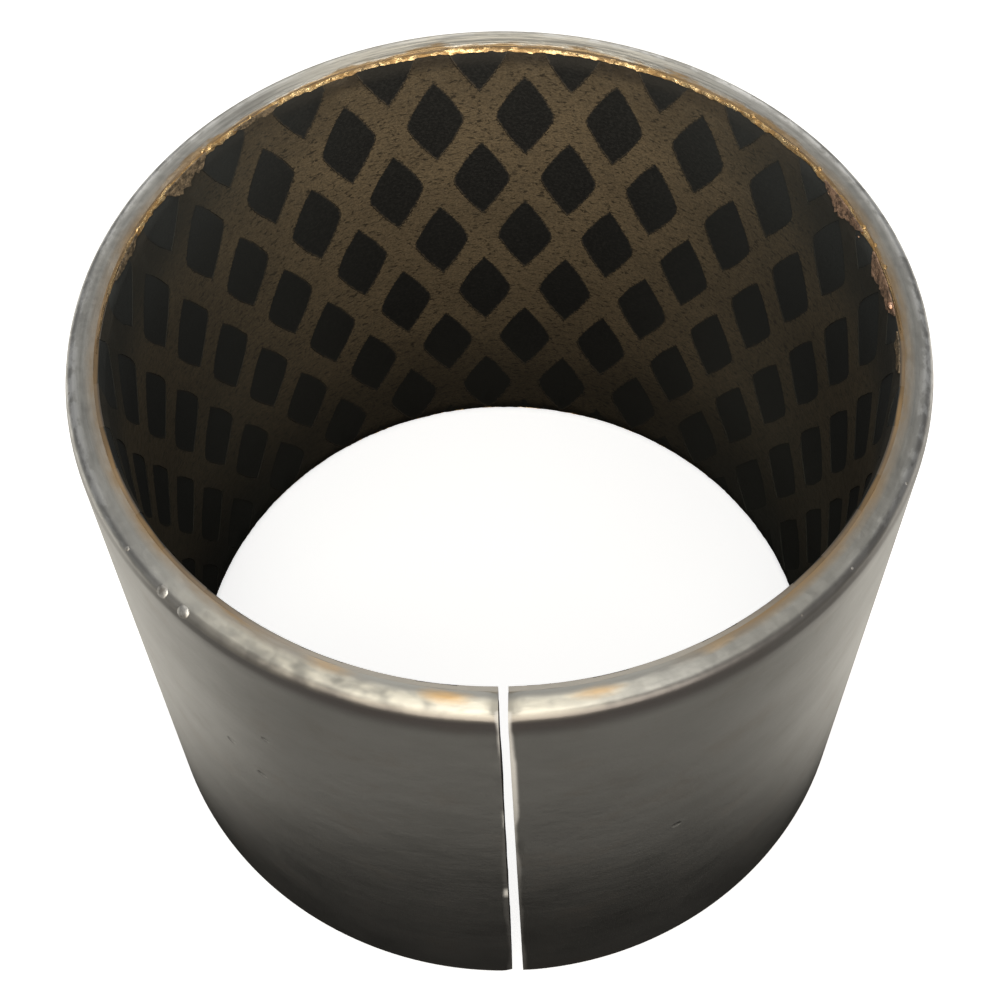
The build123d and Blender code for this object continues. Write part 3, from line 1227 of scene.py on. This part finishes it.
class BUSHING_OT_burrs(bpy.types.Operator):
    """Leaves a torn lip of bronze round the bore at both ends"""

    bl_idname = "bushing.burrs"
    bl_label = "Bronze burrs"

    def execute(self, context):
        size = in_millimetres(context.scene.bushing_sizes)
        gold = context.scene.bushing_finishes.gold
        finish = burr_finish("torn bronze", gold, DULL_BURR, size)
        ring = [Vector((0, cos(i * pi / 4), sin(i * pi / 4))) for i in range(8)]
        for end, name, fullness, sway in (
            (size.length, "upper_burr", 1, 0.05),
            (0.0, "lower_burr", 0.5, 0.01),
        ):

            def torn(point):
                """Draws the round section out to a ragged lip over the bronze and a little of the steel."""
                coarse = Vector((point.x * 0.55, end, 1.0))
                fine = Vector((point.x * 3.1, end, point.z * 2))
                share = torn_share(size, point.x)
                width = max(0.03, 0.12 + 0.09 * noise.noise(coarse) + 0.07 * noise.noise(fine))
                width *= (0.15 + 0.85 * share) * fullness
                thick = 0.040 + 0.02 * noise.noise(fine * 1.7)
                middle_depth = 0.33 - 0.085 * share + sway * noise.noise(coarse * 1.6)
                depth = middle_depth + point.z * width
                rise = point.y * thick + 0.012 * noise.noise(fine * 2.3)
                drop = 0.045 + 0.40 * share * (size.lining - depth) * (1 + 0.4 * noise.noise(fine * 0.8))
                height = min(0.0, rise - drop) if end else max(0.0, rise + drop)
                return Vector((point.x, end + height, depth))

            burr = draw_out(size, name, ring, BURR_OVERRUN, BURR_SLICES)
            reshape(burr, torn)
            edit(burr)
            trim((BURR_END, 0, 0), (-1, 0, 0))
            trim((size.girth - BURR_END, 0, 0), (1, 0, 0))
            clear_bench()
            roll(burr, size, 50)
            seat(burr, "lining_bronze", finish)
        return {"FINISHED"}


class BUSHING_OT_flakes(bpy.types.Operator):
    """Smears thin flakes of bronze and copper over the lead-in below the burr"""

    bl_idname = "bushing.flakes"
    bl_label = "Smeared flakes"

    def execute(self, context):
        size = in_millimetres(context.scene.bushing_sizes)
        length = size.length
        finishes = {
            "bronze": flake_finish("smeared bronze", *BRONZE_FLAKE),
            "copper": flake_finish("smeared copper", *COPPER_FLAKE),
        }

        def smeared(point):
            """Lifts a flake off the lead-in, more and more towards its hanging edge."""
            lift = 0.05 + 0.04 * noise.noise(Vector((point.x * 2.2, point.y * 2.5, 5)))
            lift += 0.20 * (length - point.y) * (1 + 0.6 * noise.noise(Vector((point.x * 1.4, 1, 7))))
            depth = lead_in(size, point.y) - lift + point.z * (1 + 2.5 * lift)
            return Vector((point.x, point.y, depth))

        for name, start, stop, hang, metal in FLAKES:
            count = max(8, int((stop - start) * 6))
            places = [start + (stop - start) * i / count for i in range(count + 1)]
            top = [Vector((across, length - 0.03, 0)) for across in places]
            low = []
            for i, across in reversed(list(enumerate(places))):
                share = i / count
                ragged = 0.75 + 0.6 * noise.noise(Vector((across * 0.9, 4.2, 0)))
                ragged += 0.38 * noise.noise(Vector((across * 4.6, 1.2, 0)))
                fall = hang * min(1, share * 5, (1 - share) * 5) * max(0.25, ragged)
                low.append(Vector((across, length - 0.07 - fall, 0)))
            flake = outline_face(name, top + low)
            edit(flake)
            extrude(0, 0, 0.06)
            for below in (0.12, 0.25, 0.4, 0.6):
                score((0, length - below, 0), (0, 1, 0))
            for across in places[1:-1]:
                score((across, 0, 0), (1, 0, 0))
            clear_bench()
            reshape(flake, smeared)
            roll(flake, size, 40)
            seat(flake, "lining_bronze", finishes[metal])
        return {"FINISHED"}


def set_bead(size, name, radius, detail, shape, slot, finish):
    """Starts a bead from a ball, draws it to its shape, rolls it with the strip and seats it."""
    clear_bench()
    bpy.ops.mesh.primitive_ico_sphere_add(subdivisions=detail, radius=radius)
    bead = named(bpy.context.object, name)
    reshape(bead, shape)
    roll(bead, size, 60)
    seat(bead, slot, finish)


class BUSHING_OT_beads(bpy.types.Operator):
    """Sets the spatter beads on the rounded outer edge and the molten beads at the bore"""

    bl_idname = "bushing.beads"
    bl_label = "Beads"

    def execute(self, context):
        size = in_millimetres(context.scene.bushing_sizes)
        rim = size.length - RIM_SLACK
        rounding = Vector((0, size.length - size.edge_radius - EDGE_LEVEL, edge_centre(size)))
        finish = spatter_finish()
        for number, (across, tilt, radius) in enumerate(SPATTER, 1):
            turn = radians(tilt)
            out, side = Vector((0, cos(turn), sin(turn))), Vector((0, -sin(turn), cos(turn)))
            dome = min(0.1, radius * 0.45)

            def settled(point):
                """A low dome standing on the rounded edge, a little out of round."""
                uneven = 1 + 0.12 * noise.noise(point * 6 + Vector((number, 0, 0)))
                flat = Vector((across + point.x * uneven, 0, 0)) + side * point.y * uneven
                place = rounding + flat + out * (size.edge_radius - BEAD_SINK + point.z / radius * dome)
                return Vector((place.x, min(place.y, rim), place.z))

            set_bead(size, f"spatter_bead_{number}", radius, 3, settled, "backing_steel", finish)
        finishes = {
            "gold": burr_finish("gold beads", context.scene.bushing_finishes.gold, DULL_GOLD),
            "copper": burr_finish("copper bead", *COPPER_BEAD),
        }
        for number, (across, depth, radius, below, metal) in enumerate(BORE_BEADS, 1):
            level = rim - radius * 0.7 - below

            def dropped(point):
                """A blob of molten metal, a little out of round, below the level of the end face."""
                swell = 0.25 * noise.noise(point * 9 + Vector((number, 3, 0)))
                along = across + point.x * (1.2 + swell)
                return Vector((along, level + point.y * 0.7, depth + point.z * (1 + swell)))

            set_bead(size, f"bronze_bead_{number}", radius, 2, dropped, "lining_bronze", finishes[metal])
        return {"FINISHED"}


class BUSHING_OT_stage(bpy.types.Operator):
    """Sets the floor, the soft lights and the camera"""

    bl_idname = "bushing.stage"
    bl_label = "Studio"

    def execute(self, context):
        scene, studio = context.scene, context.scene.bushing_studio
        for name, material, height, seen in (
            ("studio_floor", floor_finish(studio.floor), -0.0002, True),
            ("bounce_board", board_finish(), -0.0001, False),
        ):
            clear_bench()
            place = (0, 0, height)
            bpy.ops.mesh.primitive_circle_add(vertices=96, radius=1.5, fill_type="NGON", location=place)
            sheet = named(context.object, name)
            sheet.data.materials.append(material)
            sheet.visible_camera = seen
            sheet.visible_diffuse = sheet.visible_glossy = not seen
            sheet.visible_shadow = False
        for name, place, span, power, tint in (
            ("overhead_light", (-0.006, -0.035, 0.36), (0.07, 0.35), studio.overhead, (1, 0.965, 0.89)),
            ("key_light", (0.01, -0.42, 0.28), (0.62, 0.50), studio.key, (1, 0.93, 0.82)),
            ("back_light", (0, 0.50, 0.27), (0.45, 0.36), studio.back, (1, 0.965, 0.90)),
        ):
            turn = (Vector(place) - Vector(LIGHTS_AIM)).to_track_quat("Z", "Y").to_euler()
            bpy.ops.object.light_add(type="AREA", location=place, rotation=turn)
            light = named(context.object, name).data
            light.shape = "RECTANGLE"
            light.size, light.size_y = span
            light.energy = power
            light.color = tint
        scene.world = bpy.data.worlds.new("pale room")
        scene.world.use_nodes = True
        room = scene.world.node_tree.nodes["Background"].inputs
        room["Color"].default_value = (1, 1, 1, 1)
        room["Strength"].default_value = studio.ambient
        view = bpy.data.cameras.new("camera")
        view.lens = studio.lens
        view.sensor_width = 36
        view.clip_start = 0.001
        camera = bpy.data.objects.new("camera", view)
        context.collection.objects.link(camera)
        axes = Matrix((CAMERA_RIGHT, CAMERA_UP, CAMERA_BACK)).transposed().to_4x4()
        camera.matrix_world = Matrix.Translation(CAMERA_PLACE) @ axes
        scene.camera = camera
        scene.view_settings.view_transform = "Standard"
        return {"FINISHED"}


class BUSHING_PT_bench(bpy.types.Panel):
    """Lists the pieces of the bushing and their sizes"""

    bl_idname = "BUSHING_PT_bench"
    bl_label = "Bushing"
    bl_space_type = "VIEW_3D"
    bl_region_type = "UI"
    bl_category = "Bushing"

    def draw(self, context):
        layout = self.layout
        for operator in OPERATORS:
            layout.operator(operator.bl_idname)
        for group in (
            context.scene.bushing_sizes,
            context.scene.bushing_finishes,
            context.scene.bushing_studio,
        ):
            box = layout.box()
            for name in group.__annotations__:
                box.prop(group, name)


OPERATORS = (
    BUSHING_OT_steel,
    BUSHING_OT_lining,
    BUSHING_OT_graphite,
    BUSHING_OT_burrs,
    BUSHING_OT_flakes,
    BUSHING_OT_beads,
    BUSHING_OT_stage,
)
CLASSES = (BushingSizes, BushingFinishes, StudioSizes, *OPERATORS, BUSHING_PT_bench)


def register():
    """Registers the classes and hangs the settings on the scene."""
    for item in CLASSES:
        bpy.utils.register_class(item)
    bpy.types.Scene.bushing_sizes = PointerProperty(type=BushingSizes)
    bpy.types.Scene.bushing_finishes = PointerProperty(type=BushingFinishes)
    bpy.types.Scene.bushing_studio = PointerProperty(type=StudioSizes)


def unregister():
    """Takes the settings off the scene and unregisters the classes."""
    del bpy.types.Scene.bushing_studio
    del bpy.types.Scene.bushing_finishes
    del bpy.types.Scene.bushing_sizes
    for item in reversed(CLASSES):
        bpy.utils.unregister_class(item)


def main():
    """Makes every piece and the studio."""
    register()
    bpy.ops.bushing.steel()
    bpy.ops.bushing.lining()
    bpy.ops.bushing.graphite()
    bpy.ops.bushing.burrs()
    bpy.ops.bushing.flakes()
    bpy.ops.bushing.beads()
    bpy.ops.bushing.stage()


if __name__ == "__main__":
    main()
